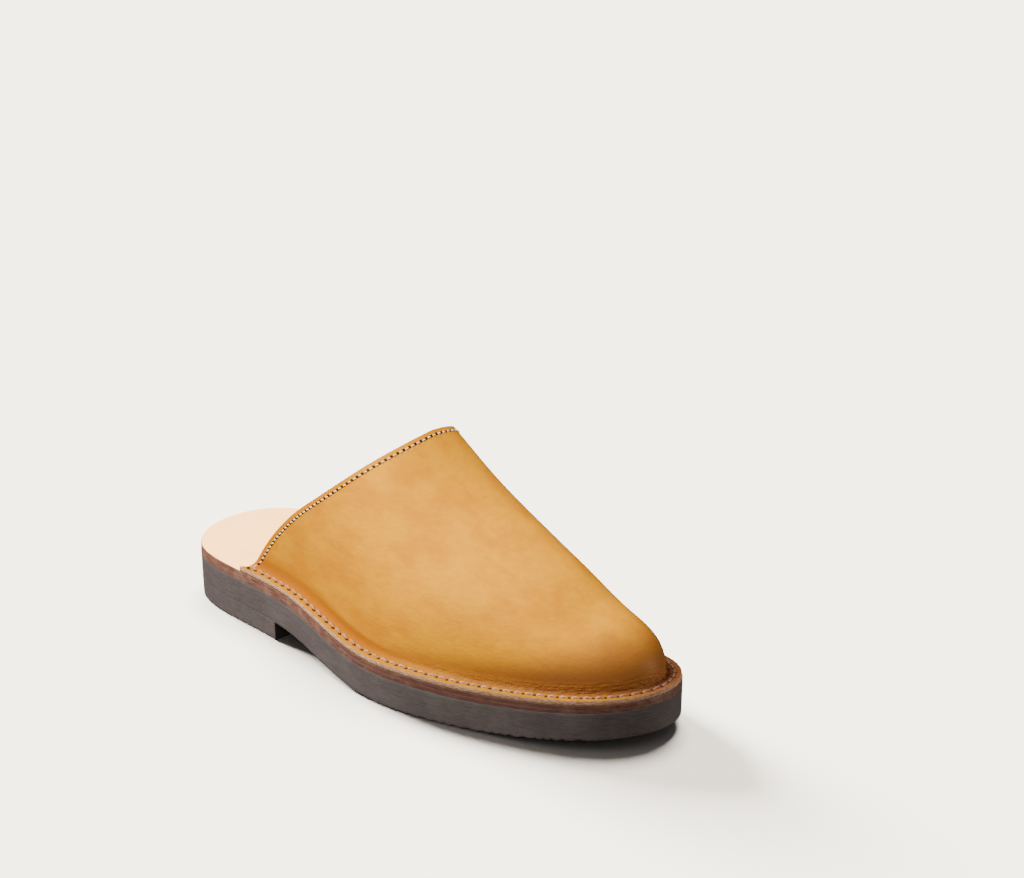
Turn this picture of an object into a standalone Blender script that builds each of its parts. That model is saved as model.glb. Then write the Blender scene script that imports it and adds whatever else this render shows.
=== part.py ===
"""A stitch-down leather mule slipper for the right foot, standing empty on its sole.

Metres, +Z up. The toe points to -Y and the little-toe (lateral) side faces -X. The floor is z = 0 and the
origin lies under the middle of the slipper's box. Every piece is drawn from the same two things: the rim of
the sole, walked by an angle called the turn (0 at the back of the heel, 180 at the tip of the toe), and the
last, a set of ribs that rise from the rim to a ridge along the top of the foot.
"""

import bmesh
import bpy
import numpy as np

for old in list(bpy.data.objects):
    bpy.data.objects.remove(old, do_unlink=True)

# Driving sizes
SOLE_LENGTH = 0.290
BALL_WIDTH = 0.1055
INSTEP_HEIGHT = 0.094  # ridge over the insole, at the middle of the collar
HEEL_LIFT = 0.0094
BREAST_ALONG = 0.079  # front of the heel block, measured along the sole from the back of the heel
ARCH_ALONG = (0.084, 0.164)  # where the outsole leaves the heel seat, and where it reaches the floor
TOE_SPRING = 0.008
SPRING_ALONG = 0.205  # where the toe starts to lift

# Materials' thickness and the room left between pieces
INSOLE_THICKNESS = 0.0022
UPPER_THICKNESS = 0.0020
GAP = 0.0003

# The upper's turned-out flange and its collar
FLANGE_INSET = 0.0005  # from the rim to the flange's cut edge
FLANGE_TAIL = 0.0029  # how far the flange runs on behind the foot of the collar
COLLAR_THROAT = 0.1407  # the collar's foremost point, on the ridge
COLLAR_FOOT = {-1: 0.0544, 1: 0.0749}  # where the collar meets the flange, lateral and medial
COLLAR_CURVE = 2.08  # at 1 the collar would be straight; from 2 up it runs square across the ridge
TOE_PIVOT = 0.243  # where the ridge stops and the ribs fan out round the toe
PIVOT_BLEND = 0.008
PIVOT_SHY = 0.0003  # ribs that reach this close to the pivot share it
TOE_SWING = 0.0107  # how far the toe's tip lies to the medial side of the heel

EDGE = 0.0006  # small bevel on the rubber and leather edges
RUBBER_TAPER = 0.0004  # the rubber's wall leans in by this much at its foot
WELD_DISTANCE = 0.00001
SHARP_EDGE = 35  # degrees; edges that turn more than this look sharp

# How finely the curves are stepped, and the small steps that slopes are measured over
SOLE_STATIONS = 44
UPPER_COLUMNS = 40
FLANGE_ROWS = 2
FOLD_ROWS = 3
WALL_ROWS = 15
TURN_STEP = 0.0001
SLOPE_STEP = 0.0001

# Finishes: linear base colour and roughness
BROWN_RUBBER = ((0.078, 0.067, 0.062), 0.75)
BURNISHED_LEATHER = ((0.25, 0.115, 0.075), 0.60)
NATURAL_LEATHER = ((0.80, 0.66, 0.53), 0.55)
MUSTARD_LEATHER = ((0.68, 0.33, 0.075), 0.42)


def columns(names, *rows):
    """A short table, as one array for each named column."""
    return dict(zip(names.split(), np.array(rows, float).T))


# Half breadths of the sole as shares of the ball width, by turn in degrees
OUTLINE = columns(
    "turn lateral medial",
    (0, 0.732, 0.732),
    (20, 0.701, 0.683),
    (40, 0.557, 0.529),
    (60, 0.461, 0.388),
    (80, 0.506, 0.372),
    (100, 0.565, 0.440),
    (120, 0.553, 0.440),
    (140, 0.571, 0.490),
    (160, 0.603, 0.574),
    (180, 0.583, 0.583),
)

# Thickness of the two lower layers, by share of the sole's length
LAYERS = columns(
    "along outsole midsole",
    (0.00, 0.0124, 0.0027),
    (0.30, 0.0138, 0.0022),
    (0.50, 0.0150, 0.0020),
    (0.70, 0.0152, 0.0020),
    (1.00, 0.0142, 0.0012),
)

# The ridge: height over the insole as a share of the instep height, and how far it lies to the medial side
# of the long axis as a share of the ball width. Behind the collar it runs on as if up a leg.
RIDGE = columns(
    "along height offset",
    (0.20, 1.780, -0.060),
    (0.33, 1.304, 0.004),
    (0.45, 1.078, 0.056),
    (0.57, 0.810, 0.084),
    (0.69, 0.632, 0.098),
    (0.78, 0.512, 0.104),
    (0.86, 0.360, 0.114),
)

# The ribs on each side: how upright they start and how level they finish, as shares of their rise and reach
RIB_SHAPES = {
    -1: columns(
        "along upright level",
        (0.18, 0.572, 0.643),
        (0.48, 0.438, 0.612),
        (0.72, 0.560, 0.565),
        (1.00, 0.740, 0.200),
    ),
    1: columns(
        "along upright level",
        (0.18, 0.722, 0.905),
        (0.48, 0.551, 1.000),
        (0.72, 0.556, 0.734),
        (1.00, 0.740, 0.200),
    ),
}

# The foot of the ribs: how far they bulge beyond the feather line, the flange's breadth, its fold's radius
FEATHER = columns(
    "along bulge flange fold",
    (0.18, 0.0011, 0.0079, 0.0045),
    (0.48, 0.0016, 0.0079, 0.0035),
    (0.72, 0.0024, 0.0080, 0.0022),
    (1.00, 0.0028, 0.0082, 0.0018),
)


def spline(at, xs, ys):
    """Natural cubic spline through the points (xs, ys), read at the places given."""
    count = len(xs)
    step = np.diff(xs)
    slope = np.diff(ys) / step
    system = np.eye(count)
    bend = np.zeros(count)
    for i in range(1, count - 1):
        system[i, i - 1 : i + 2] = step[i - 1], 2 * (step[i - 1] + step[i]), step[i]
        bend[i] = 6 * (slope[i] - slope[i - 1])
    bend = np.linalg.solve(system, bend)
    i = np.clip(np.searchsorted(xs, at) - 1, 0, count - 2)
    left = np.asarray(at) - xs[i]
    right = xs[i + 1] - at
    span = step[i]
    curved = (bend[i] * right**3 + bend[i + 1] * left**3) / (6 * span)
    straight_left = (ys[i] / span - bend[i] * span / 6) * right
    straight_right = (ys[i + 1] / span - bend[i + 1] * span / 6) * left
    return curved + straight_left + straight_right


def row_value(table, column, along):
    """A table's column read at distances along the sole."""
    return spline(along / SOLE_LENGTH, table["along"], table[column])


def along_of(turn):
    """Distance along the sole of a rim point, from its turn in radians."""
    return SOLE_LENGTH * (1 - np.cos(turn)) / 2


def turn_of(along):
    """Turn in radians of the rim point at a distance along the sole."""
    return np.arccos(1 - 2 * np.asarray(along) / SOLE_LENGTH)


def rim_edge(turn, side):
    """Plan position of the sole's edge. Side is -1 for lateral and 1 for medial."""
    column = OUTLINE["lateral"] if side < 0 else OUTLINE["medial"]
    breadth = BALL_WIDTH * spline(np.degrees(turn), OUTLINE["turn"], column)
    along = along_of(turn)
    across = TOE_SWING * (along / SOLE_LENGTH) ** 2 + side * breadth * np.sin(turn)
    return np.stack([across, SOLE_LENGTH / 2 - along], -1)


def rim_outward(turn, side):
    """Unit vector in plan that points straight out of the sole's edge."""
    before = rim_edge(np.clip(turn - TURN_STEP, 0, np.pi), side)
    after = rim_edge(np.clip(turn + TURN_STEP, 0, np.pi), side)
    walk = after - before
    outward = np.stack([walk[..., 1], -walk[..., 0]], -1) * -side
    return outward / np.linalg.norm(outward, axis=-1, keepdims=True)


def rim(turn, side, inset):
    """Plan position of the line that runs a given distance inside the sole's edge."""
    return rim_edge(turn, side) - rim_outward(turn, side) * np.asarray(inset)[..., None]


def underside(along):
    """Height of the outsole's underside: heel seat, arch, tread on the floor, toe spring."""
    arch = np.clip((along - ARCH_ALONG[0]) / (ARCH_ALONG[1] - ARCH_ALONG[0]), 0, 1)
    seat = (HEEL_LIFT + GAP) * (1 + np.cos(np.pi * arch)) / 2
    lift = np.clip((along - SPRING_ALONG) / (SOLE_LENGTH - SPRING_ALONG), 0, 1)
    return seat + TOE_SPRING * lift**1.5


def outsole_top(along):
    return underside(along) + row_value(LAYERS, "outsole", along)


def floor_height(along):
    return np.zeros_like(along)


def heel_block_top(along):
    return np.full_like(along, HEEL_LIFT)


def midsole_foot(along):
    return outsole_top(along) + GAP


def midsole_top(along):
    return midsole_foot(along) + row_value(LAYERS, "midsole", along)


def insole_foot(along):
    return midsole_top(along) + GAP


def insole_top(along):
    return insole_foot(along) + INSOLE_THICKNESS


def flange_top(along):
    return insole_top(along) + GAP + UPPER_THICKNESS


def middle_across():
    """How far the middle of the sole's box lies to the medial side of the heel's axis."""
    turns = np.linspace(0, np.pi, 721)
    return (rim_edge(turns, 1)[:, 0].max() + rim_edge(turns, -1)[:, 0].min()) / 2


def mesh_object(name, points, faces, finish):
    """A mesh object with its own material, moved so that the slipper's box is centred on the origin."""
    colour, roughness = finish
    mesh = bpy.data.meshes.new(name)
    centred = np.array(points, float)
    centred[:, 0] -= middle_across()
    mesh.from_pydata(centred.tolist(), [], faces)
    mesh.validate()
    mesh.shade_smooth()
    mesh.set_sharp_from_angle(angle=np.radians(SHARP_EDGE))
    material = bpy.data.materials.new(name)
    material.use_nodes = True
    shader = material.node_tree.nodes["Principled BSDF"]
    shader.inputs["Base Color"].default_value = (*colour, 1)
    shader.inputs["Roughness"].default_value = roughness
    shader.inputs["Metallic"].default_value = 0
    mesh.materials.append(material)
    obj = bpy.data.objects.new(name, mesh)
    bpy.context.scene.collection.objects.link(obj)
    return obj


def layer(name, levels, finish, front=SOLE_LENGTH):
    """A flat layer of the sole, stacked from rings round the rim.

    Each level is (inset from the rim, height as a function of the distance along). The layer runs from the
    back of the heel to the front given, where it's cut square across or, at the full length, closes round
    the toe.
    """
    turns = np.linspace(0, turn_of(front), SOLE_STATIONS)
    closes = front >= SOLE_LENGTH
    lateral = np.arange(SOLE_STATIONS)
    medial = np.arange(SOLE_STATIONS - (2 if closes else 1), 0, -1)
    points = []
    for inset, height in levels:
        for side, order in ((-1, lateral), (1, medial)):
            plan = rim(turns[order], side, np.full(len(order), inset))
            along = SOLE_LENGTH / 2 - plan[:, 1]
            if not closes:
                along = np.minimum(along, front)
                plan[:, 1] = SOLE_LENGTH / 2 - along
            points += np.column_stack([plan, height(along)]).tolist()
    ring = len(lateral) + len(medial)
    faces = []
    for level in range(len(levels) - 1):
        for i in range(ring):
            j = (i + 1) % ring
            low = level * ring
            faces.append((low + i, low + j, low + ring + j, low + ring + i))
    for low, flip in ((0, True), ((len(levels) - 1) * ring, False)):
        for i in range(SOLE_STATIONS - 1):
            strip = [low + i, low + i + 1, low + (ring - i - 1) % ring, low + (ring - i) % ring]
            strip = list(dict.fromkeys(strip))
            if len(strip) > 2:
                faces.append(strip[::-1] if flip else strip)
    return mesh_object(name, points, faces, finish)


def edged(bottom, top, taper=0.0):
    """Four levels: a layer's wall between two heights, with small bevels and a taper at its foot."""
    return (
        (taper + EDGE, bottom),
        (taper, lambda along: bottom(along) + EDGE),
        (0, lambda along: top(along) - EDGE),
        (EDGE, top),
    )


def ridge_along(foot_along):
    """Where on the ridge a rib ends: level with its foot, and past the toe's pivot always at the pivot."""
    short = TOE_PIVOT - PIVOT_BLEND * np.log1p(np.exp((TOE_PIVOT - foot_along) / PIVOT_BLEND))
    return np.where(TOE_PIVOT - short < PIVOT_SHY, TOE_PIVOT - PIVOT_SHY, short)


def rib(turn, side, climb):
    """Points of the last's ribs, cubic curves from the feather line (climb 0) to the ridge (climb 1)."""
    rim_along = along_of(turn)
    foot = rim(turn, side, row_value(FEATHER, "flange", rim_along))
    foot_height = flange_top(SOLE_LENGTH / 2 - foot[..., 1])
    end_along = ridge_along(rim_along)
    end_across = BALL_WIDTH * row_value(RIDGE, "offset", end_along)
    end = np.stack([end_across, SOLE_LENGTH / 2 - end_along], -1)
    rise_here = INSTEP_HEIGHT * row_value(RIDGE, "height", end_along)
    rise_ahead = INSTEP_HEIGHT * row_value(RIDGE, "height", end_along + SLOPE_STEP)
    end_height = insole_top(end_along) + rise_here
    upright = row_value(RIB_SHAPES[side], "upright", rim_along)
    level = row_value(RIB_SHAPES[side], "level", rim_along)
    bulge = row_value(FEATHER, "bulge", rim_along)
    reach = (foot - end) * level[..., None]
    low = foot + rim_outward(turn, side) * bulge[..., None]
    low_height = foot_height + upright * (end_height - foot_height)
    high = end + reach
    high_height = end_height - reach[..., 1] * (rise_ahead - rise_here) / SLOPE_STEP
    plans = (foot, low, high, end)
    heights = (foot_height, low_height, high_height, end_height)
    t = np.asarray(climb)[..., None]
    weights = ((1 - t) ** 3, 3 * (1 - t) ** 2 * t, 3 * (1 - t) * t**2, t**3)
    points = [np.concatenate([plan, height[..., None]], -1) for plan, height in zip(plans, heights)]
    return sum(weight * point for weight, point in zip(weights, points))


def collar_along(side, climb):
    """Distance along the sole at which the collar cuts the rib at a climb."""
    foot = COLLAR_FOOT[side]
    sweep = 1 - (1 - climb) ** COLLAR_CURVE
    return foot + (COLLAR_THROAT - foot) * sweep


def flange_point(turn, side, place):
    """A point of the flange's face, from its cut edge (place 0) to the start of the fold (place 1)."""
    rim_along = along_of(turn)
    fold_start = row_value(FEATHER, "flange", rim_along) - row_value(FEATHER, "fold", rim_along)
    plan = rim(turn, side, FLANGE_INSET + (fold_start - FLANGE_INSET) * place)
    return np.column_stack([plan, flange_top(SOLE_LENGTH / 2 - plan[:, 1])])


def fold_climb(turn, side):
    """How far up the ribs the fold between flange and wall reaches."""
    rim_along = along_of(turn)
    rise = rib(turn, side, np.ones_like(turn))[..., 2] - rib(turn, side, np.zeros_like(turn))[..., 2]
    steepness = 3 * row_value(RIB_SHAPES[side], "upright", rim_along) * rise
    return row_value(FEATHER, "fold", rim_along) / steepness


def fold_point(turn, side, place):
    """A point of the rounded fold that turns the flange's face up into the wall."""
    flat = flange_point(turn, side, 1.0)
    corner = rib(turn, side, np.zeros_like(turn))
    wall = rib(turn, side, fold_climb(turn, side))
    return (1 - place) ** 2 * flat + 2 * place * (1 - place) * corner + place**2 * wall


def upper_half(side):
    """Rows of the upper's outer face on one side: flange, fold and wall, each from its back to the toe."""
    share = np.linspace(0, 1, UPPER_COLUMNS + 1)
    foot = COLLAR_FOOT[side]
    flange_back = foot - FLANGE_TAIL
    low_climb = fold_climb(turn_of(np.array([foot])), side)[0]

    def spread(start_along):
        start = turn_of(start_along)
        return start + (np.pi - start) * share

    rows = []
    for place in np.linspace(0, 1, FLANGE_ROWS + 1):
        turn = spread(flange_back + (foot - flange_back) * place)
        rows.append(flange_point(turn, side, place))
    for place in np.linspace(0, 1, FOLD_ROWS + 2)[1:-1]:
        turn = spread(foot + (collar_along(side, low_climb) - foot) * place**2)
        rows.append(fold_point(turn, side, place))
    for place in np.linspace(0, 1, WALL_ROWS + 1):
        turn = spread(collar_along(side, low_climb + (1 - low_climb) * place))
        low = fold_climb(turn, side)
        rows.append(rib(turn, side, low + (1 - low) * place))
    return rows


def upper(name, finish):
    """The one-piece vamp: a grid over both sides of the last, given its leather's thickness inwards."""
    lateral = upper_half(-1)
    medial = upper_half(1)
    rows = len(lateral)
    wide = UPPER_COLUMNS + 1
    points = np.concatenate(lateral + medial)
    faces = []
    for half in range(2):
        for r in range(rows - 1):
            for c in range(UPPER_COLUMNS):
                a = (half * rows + r) * wide + c
                quad = (a, a + 1, a + wide + 1, a + wide)
                faces.append(quad[::-1] if half else quad)
    obj = mesh_object(name, points, faces, finish)
    weld = bmesh.new()
    weld.from_mesh(obj.data)
    bmesh.ops.remove_doubles(weld, verts=weld.verts, dist=WELD_DISTANCE)
    weld.to_mesh(obj.data)
    weld.free()
    leather = obj.modifiers.new("leather", "SOLIDIFY")
    leather.thickness = UPPER_THICKNESS
    leather.offset = -1
    leather.use_even_offset = True
    return obj


layer("heel_block", edged(floor_height, heel_block_top, RUBBER_TAPER), BROWN_RUBBER, BREAST_ALONG)
layer("outsole", edged(underside, outsole_top, RUBBER_TAPER), BROWN_RUBBER)
layer("midsole", edged(midsole_foot, midsole_top), BURNISHED_LEATHER)
layer("insole", edged(insole_foot, insole_top), NATURAL_LEATHER)
upper("upper", MUSTARD_LEATHER)
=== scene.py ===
"""A mustard leather mule slipper for the right foot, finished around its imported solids.

Metres, +Z up: the toe points to -Y, the little-toe (lateral) side faces -X, and the floor is z = 0. The
sections follow the slipper as it is put together, from the floor up, and the studio comes last.
"""

import bmesh
import bpy
import numpy as np
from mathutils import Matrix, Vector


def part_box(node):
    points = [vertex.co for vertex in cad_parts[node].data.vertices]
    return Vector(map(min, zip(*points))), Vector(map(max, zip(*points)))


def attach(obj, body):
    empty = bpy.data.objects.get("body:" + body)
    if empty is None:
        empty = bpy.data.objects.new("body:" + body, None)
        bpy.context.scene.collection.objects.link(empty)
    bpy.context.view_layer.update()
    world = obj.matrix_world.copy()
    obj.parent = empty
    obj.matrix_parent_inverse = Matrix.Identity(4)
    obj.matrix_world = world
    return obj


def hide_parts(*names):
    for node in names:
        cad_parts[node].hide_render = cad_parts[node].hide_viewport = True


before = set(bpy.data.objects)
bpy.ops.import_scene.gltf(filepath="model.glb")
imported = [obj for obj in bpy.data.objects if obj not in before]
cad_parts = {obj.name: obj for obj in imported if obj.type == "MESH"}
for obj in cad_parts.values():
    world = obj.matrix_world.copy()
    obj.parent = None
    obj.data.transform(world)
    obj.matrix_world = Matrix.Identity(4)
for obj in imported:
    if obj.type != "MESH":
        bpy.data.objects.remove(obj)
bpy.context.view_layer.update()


# ======== Heel block ========
# A low lift of brown cellular rubber, cut to the heel's outline and cemented under the sole. Its side is
# sanded flush with the sole's and leaves a fine joint; the edge on the ground is eased, the breast is square.

heel_low, heel_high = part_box("heel_block")
sole_low, sole_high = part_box("outsole")
SOLE_LENGTH = sole_high.y - sole_low.y
BALL_WIDTH = 0.1055
TOE_SWING = 0.0107  # how far the toe's tip lies to the medial side of the heel
HEEL_LIFT = heel_high.z
BREAST_ALONG = heel_high.y - heel_low.y
RUBBER_TAPER = 0.0004  # the rubber's wall leans in by this much at its foot
HEEL_FOOT_ROUND = 0.0009
JOINT_ROUND = 0.00012
HEEL_BED = 0.0008  # the lift is pressed this far into the rubber above
SEAM_FILL = 0.00027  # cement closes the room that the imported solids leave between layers
SOLE_STATIONS = 520
HEEL_STATIONS = 200
HEEL_ACROSS = 24  # steps of the mesh across the foot and the head of a layer
WALL_LEVELS = 8
ROUND_LEVELS = 4
TURN_STEP = 0.0001
WELD_DISTANCE = 0.00001
SHARP_EDGE = 38  # degrees


def columns(names, *rows):
    """A short table, as one array for each named column."""
    return dict(zip(names.split(), np.array(rows, float).T))


# Half breadths of the sole as shares of the ball width, by turn: 0 at the back of the heel, 180 at the toe
OUTLINE = columns(
    "turn lateral medial",
    (0, 0.732, 0.732),
    (20, 0.701, 0.683),
    (40, 0.557, 0.529),
    (60, 0.461, 0.388),
    (80, 0.506, 0.372),
    (100, 0.565, 0.440),
    (120, 0.553, 0.440),
    (140, 0.571, 0.490),
    (160, 0.603, 0.574),
    (180, 0.583, 0.583),
)


def spline(at, xs, ys):
    """Natural cubic spline through the points (xs, ys), read at some places."""
    count = len(xs)
    step = np.diff(xs)
    slope = np.diff(ys) / step
    system = np.eye(count)
    bend = np.zeros(count)
    for i in range(1, count - 1):
        system[i, i - 1 : i + 2] = step[i - 1], 2 * (step[i - 1] + step[i]), step[i]
        bend[i] = 6 * (slope[i] - slope[i - 1])
    bend = np.linalg.solve(system, bend)
    i = np.clip(np.searchsorted(xs, at) - 1, 0, count - 2)
    left = np.asarray(at) - xs[i]
    right = xs[i + 1] - at
    span = step[i]
    curved = (bend[i] * right**3 + bend[i + 1] * left**3) / (6 * span)
    straight_left = (ys[i] / span - bend[i] * span / 6) * right
    straight_right = (ys[i + 1] / span - bend[i + 1] * span / 6) * left
    return curved + straight_left + straight_right


def ramp(value, start, end):
    """Rises smoothly from 0 at the start to 1 at the end."""
    share = np.clip((value - start) / (end - start), 0, 1)
    return share * share * (3 - 2 * share)


def along_of(turn):
    """Distance along the sole of a rim point, from its turn in radians."""
    return SOLE_LENGTH * (1 - np.cos(turn)) / 2


def turn_of(along):
    """Turn in radians of the rim point at a distance along the sole."""
    return np.arccos(1 - 2 * np.asarray(along) / SOLE_LENGTH)


def rim_edge(turn, side):
    """Plan position of the sole's edge. Side is -1 for lateral and 1 for medial."""
    column = OUTLINE["lateral"] if side < 0 else OUTLINE["medial"]
    breadth = BALL_WIDTH * spline(np.degrees(turn), OUTLINE["turn"], column)
    along = along_of(turn)
    across = TOE_SWING * (along / SOLE_LENGTH) ** 2 + side * breadth * np.sin(turn)
    return np.stack([across, SOLE_LENGTH / 2 - along], -1)


def rim_outward(turn, side):
    """Unit vector in plan that points straight out of the sole's edge."""
    before = rim_edge(np.clip(turn - TURN_STEP, 0, np.pi), side)
    after = rim_edge(np.clip(turn + TURN_STEP, 0, np.pi), side)
    walk = after - before
    outward = np.stack([walk[..., 1], -walk[..., 0]], -1) * -side
    return outward / np.linalg.norm(outward, axis=-1, keepdims=True)


def rim(turn, side, inset):
    """Plan position of the line that runs a given distance inside the sole's edge."""
    return rim_edge(turn, side) - rim_outward(turn, side) * np.asarray(inset)[..., None]


# The rim is drawn from the heel's axis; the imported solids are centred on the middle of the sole's box
CENTRE_SHIFT = sole_low.x - rim_edge(np.linspace(0, np.pi, 721), -1)[:, 0].min()


def placed(name, data):
    """A new object in the scene."""
    thing = bpy.data.objects.new(name, data)
    bpy.context.scene.collection.objects.link(thing)
    return thing


def mesh_piece(name, points, faces, finishes, marks=None):
    """A smooth welded mesh object with its materials and, by name, a number for each point."""
    mesh = bpy.data.meshes.new(name)
    centred = np.array(points, float)
    centred[:, 0] += CENTRE_SHIFT
    mesh.from_pydata(centred.tolist(), [], faces)
    for mark, values in (marks or {}).items():
        mesh.attributes.new(mark, "FLOAT", "POINT").data.foreach_set("value", np.ravel(values))
    weld = bmesh.new()
    weld.from_mesh(mesh)
    bmesh.ops.remove_doubles(weld, verts=weld.verts, dist=WELD_DISTANCE)
    weld.to_mesh(mesh)
    weld.free()
    mesh.shade_smooth()
    mesh.set_sharp_from_angle(angle=np.radians(SHARP_EDGE))
    for material in finishes:
        mesh.materials.append(material)
    return placed(name, mesh)


def side_levels(foot_round, head_round, taper):
    """Levels up a layer's side: inset from the rim, share of the way from foot to head, and lift."""
    levels = []
    for angle in np.linspace(0, np.pi / 2, ROUND_LEVELS):
        levels.append((taper + foot_round * (1 - np.sin(angle)), 0.0, foot_round * (1 - np.cos(angle))))
    for share in np.linspace(0, 1, WALL_LEVELS + 1)[1:-1]:
        lift = foot_round * (1 - share) - head_round * share
        levels.append((taper * (1 - share), share, lift))
    for angle in np.linspace(0, np.pi / 2, ROUND_LEVELS):
        levels.append((head_round * (1 - np.cos(angle)), 1.0, -head_round * (1 - np.sin(angle))))
    return levels


def sole_layer(name, foot, head, levels, finishes, across, stations=SOLE_STATIONS, front=None, relief=None):
    """A layer of the sole as a sleeve of sections, from the back of the heel to the front or the toe's tip.

    Each section is a loop: up the lateral side, across the head, down the medial side, back across the foot.
    Relief, in metres, is pressed into the foot and dies out up the side. A front is closed by a flat face.
    """
    turns = np.linspace(0, np.pi if front is None else turn_of(front), stations)
    shares = np.linspace(0, 1, across + 1)[1:-1]

    def side_line(side, inset, share, lift):
        plan = rim(turns, side, np.full(stations, inset))
        if front is not None:
            plan[:, 1] = np.maximum(plan[:, 1], SOLE_LENGTH / 2 - front)
        along = SOLE_LENGTH / 2 - plan[:, 1]
        rise = head(along) + SEAM_FILL - foot(along)
        height = foot(along) + share * rise + lift
        if relief is not None:
            fade = 1 - ramp(height - foot(along), 0.0, RELIEF_REACH)
            height = height + relief(plan) * fade
        return np.column_stack([plan, height])

    def cap_line(start, end, share, surface, pressed):
        plan = start[:, :2] + (end - start)[:, :2] * share
        height = surface(SOLE_LENGTH / 2 - plan[:, 1])
        if not pressed:
            height = height + SEAM_FILL
        elif relief is not None:
            height = height + relief(plan)
        return np.column_stack([plan, height])

    lateral = [side_line(-1, *level) for level in levels]
    medial = [side_line(1, *level) for level in levels[::-1]]
    top = [cap_line(lateral[-1], medial[0], share, head, False) for share in shares]
    bottom = [cap_line(medial[-1], lateral[0], share, foot, True) for share in shares]
    loop = np.array(lateral + top + medial + bottom)
    size = len(loop)
    faces = []
    for j in range(size):
        k = (j + 1) % size
        for i in range(stations - 1):
            faces.append((j * stations + i, j * stations + i + 1, k * stations + i + 1, k * stations + i))
    if front is not None:
        faces.append([j * stations + stations - 1 for j in range(size)])
    return mesh_piece(name, loop.reshape(-1, 3), faces, finishes)


def linear(code):
    """An sRGB hex colour as linear red, green, blue and alpha."""
    channels = np.array([int(code[i : i + 2], 16) for i in (1, 3, 5)]) / 255
    curved = ((channels + 0.055) / 1.055) ** 2.4
    return (*np.where(channels <= 0.04045, channels / 12.92, curved).tolist(), 1.0)


def new_material(name):
    """A new material, the function that adds a node to it, and the place of each point of its piece."""
    material = bpy.data.materials.new(name)
    material.use_nodes = True
    tree = material.node_tree
    tree.nodes.clear()

    def add(kind, inputs, **settings):
        """Add a node with its settings and its inputs: hex colours, values, outputs or whole nodes."""
        node = tree.nodes.new("ShaderNode" + kind)
        for setting, value in settings.items():
            setattr(node, setting, value)
        for socket, value in inputs.items() if isinstance(inputs, dict) else enumerate(inputs):
            if isinstance(value, bpy.types.Node):
                value = value.outputs[MIX_OUT if value.bl_idname == "ShaderNodeMix" else 0]
            if isinstance(value, bpy.types.NodeSocket):
                tree.links.new(value, node.inputs[socket])
            else:
                node.inputs[socket].default_value = linear(value) if isinstance(value, str) else value
        return node

    return material, add, add("TexCoord", {}).outputs["Object"]


MIX_A, MIX_B = 6, 7  # a Mix node's colour inputs
MIX_OUT = 2  # and its colour output
COLOUR = {"data_type": "RGBA"}  # makes a Mix node mix colours
SMOOTH = {"interpolation_type": "SMOOTHSTEP"}  # eases a MapRange; its list is value, from, to, least, most
MM = 0.001

# EVA and natural rubber crumb, moulded as a closed-cell sheet and then sanded: dull and almost black-brown,
# with fine open cells on the cut sides and a paler dusting where the sanding belt ran.
RUBBER = "#4b423e"
RUBBER_DUSTED = "#5b514c"
RUBBER_CELL = 0.55 * MM
RUBBER_CLOUD = 14 * MM
SANDED_RUN = 9 * MM  # length and breadth of the belt's streaks
SANDED_LINE = 0.6 * MM

cellular_rubber, add, place = new_material("cellular_rubber")
cells = add("TexVoronoi", {"Vector": place, "Scale": 1 / RUBBER_CELL, "Smoothness": 0.4}, feature="SMOOTH_F1")
clouds = add("TexNoise", {"Vector": place, "Scale": 1 / RUBBER_CLOUD, "Detail": 6, "Roughness": 0.65})
belt_frame = add("Mapping", {"Vector": place, "Scale": (1 / SANDED_RUN, 1 / SANDED_RUN, 1 / SANDED_LINE)})
belt = add("TexNoise", {"Vector": belt_frame, "Scale": 1, "Detail": 5, "Roughness": 0.7})
sanding = add("Math", [clouds, belt], operation="ADD")
dust = add("MapRange", [sanding, 0.78, 1.3, 0, 0.85], **SMOOTH)
tone = add("Mix", {0: dust, MIX_A: RUBBER, MIX_B: RUBBER_DUSTED}, **COLOUR)
cell_shade = add("MapRange", [cells, 0, 0.5, 0.82, 1.08])
shaded = add("Mix", {0: 1, MIX_A: tone, MIX_B: cell_shade}, blend_type="MULTIPLY", **COLOUR)
cell_relief = add("Bump", {"Height": cells, "Distance": 0.06 * MM, "Strength": 0.8})
cloud_relief = add("Bump", {"Height": belt, "Distance": 0.15 * MM, "Normal": cell_relief})
look = {
    "Base Color": shaded,
    "Roughness": 0.75,
    "IOR": 1.5,
    "Specular IOR Level": 0.3,
    "Normal": cloud_relief,
}
add("OutputMaterial", [add("BsdfPrincipled", look)])


def heel_top(along):
    return np.full_like(along, HEEL_LIFT + HEEL_BED)


levels = [
    (inset + RUBBER_TAPER, share, lift)
    for inset, share, lift in side_levels(HEEL_FOOT_ROUND, JOINT_ROUND, RUBBER_TAPER)
]
heel_block = sole_layer(
    "heel_lift", np.zeros_like, heel_top, levels, [cellular_rubber], HEEL_ACROSS, HEEL_STATIONS, BREAST_ALONG
)
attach(heel_block, "root")
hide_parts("heel_block")


# ======== Outsole ========
# One sheet of the same rubber from heel to toe, with an arch at the waist and a little toe spring. Low
# cross ribs are moulded into its tread; they run out at the forefoot's edge and leave it finely toothed.

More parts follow.
